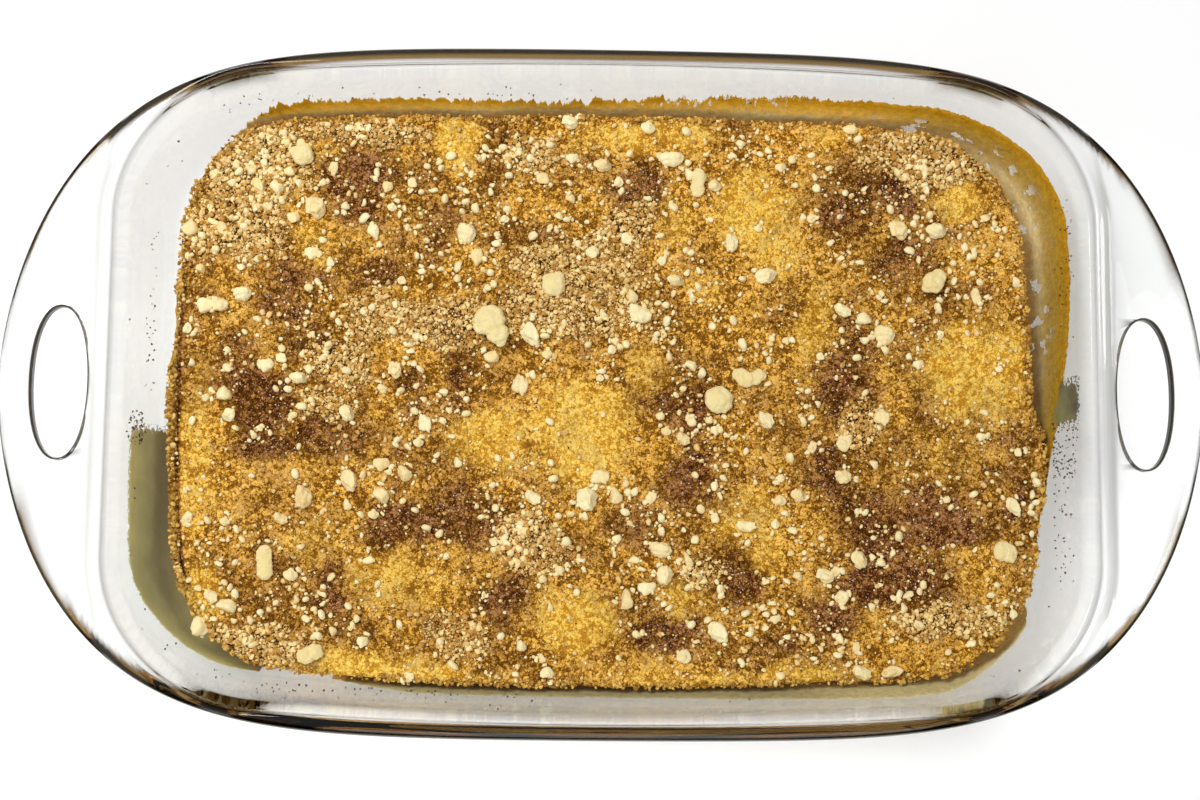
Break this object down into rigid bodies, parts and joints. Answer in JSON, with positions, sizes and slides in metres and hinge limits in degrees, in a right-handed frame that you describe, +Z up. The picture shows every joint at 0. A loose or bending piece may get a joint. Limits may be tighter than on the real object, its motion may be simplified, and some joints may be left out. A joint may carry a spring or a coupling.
{
  "type": "crumb coffee cake in a glass baking dish",
  "caption": "Oblong coffee cake with crumb topping, whole and uncut, in its own glass baking dish with a finger hole through each end plate.",
  "frame": {"origin": "bottom centre of the dish, on the surface it stands on", "axes": "+X along the length of the dish from handle to handle, +Y across it, +Z up"},
  "size_m": [0.4052, 0.2336, 0.057],
  "materials": {
    "oven_glass": "clear pressed glass, smooth and glossy",
    "baked_crumb": "baked golden cake top with dark cinnamon sugar, rough",
    "crumb_topping": "pale buttery crumb, matt"
  },
  "bodies": {
    "root": {"baking_dish": "oven_glass", "cake": "baked_crumb", "crumb_lump_01": "crumb_topping", "crumb_lump_02": "crumb_topping", "crumb_lump_03": "crumb_topping", "crumb_lump_04": "crumb_topping", "crumb_lump_05": "crumb_topping", "crumb_lump_06": "crumb_topping", "crumb_lump_07": "crumb_topping", "crumb_lump_08": "crumb_topping", "crumb_lump_09": "crumb_topping", "crumb_lump_10": "crumb_topping"}
  },
  "joints": []
}
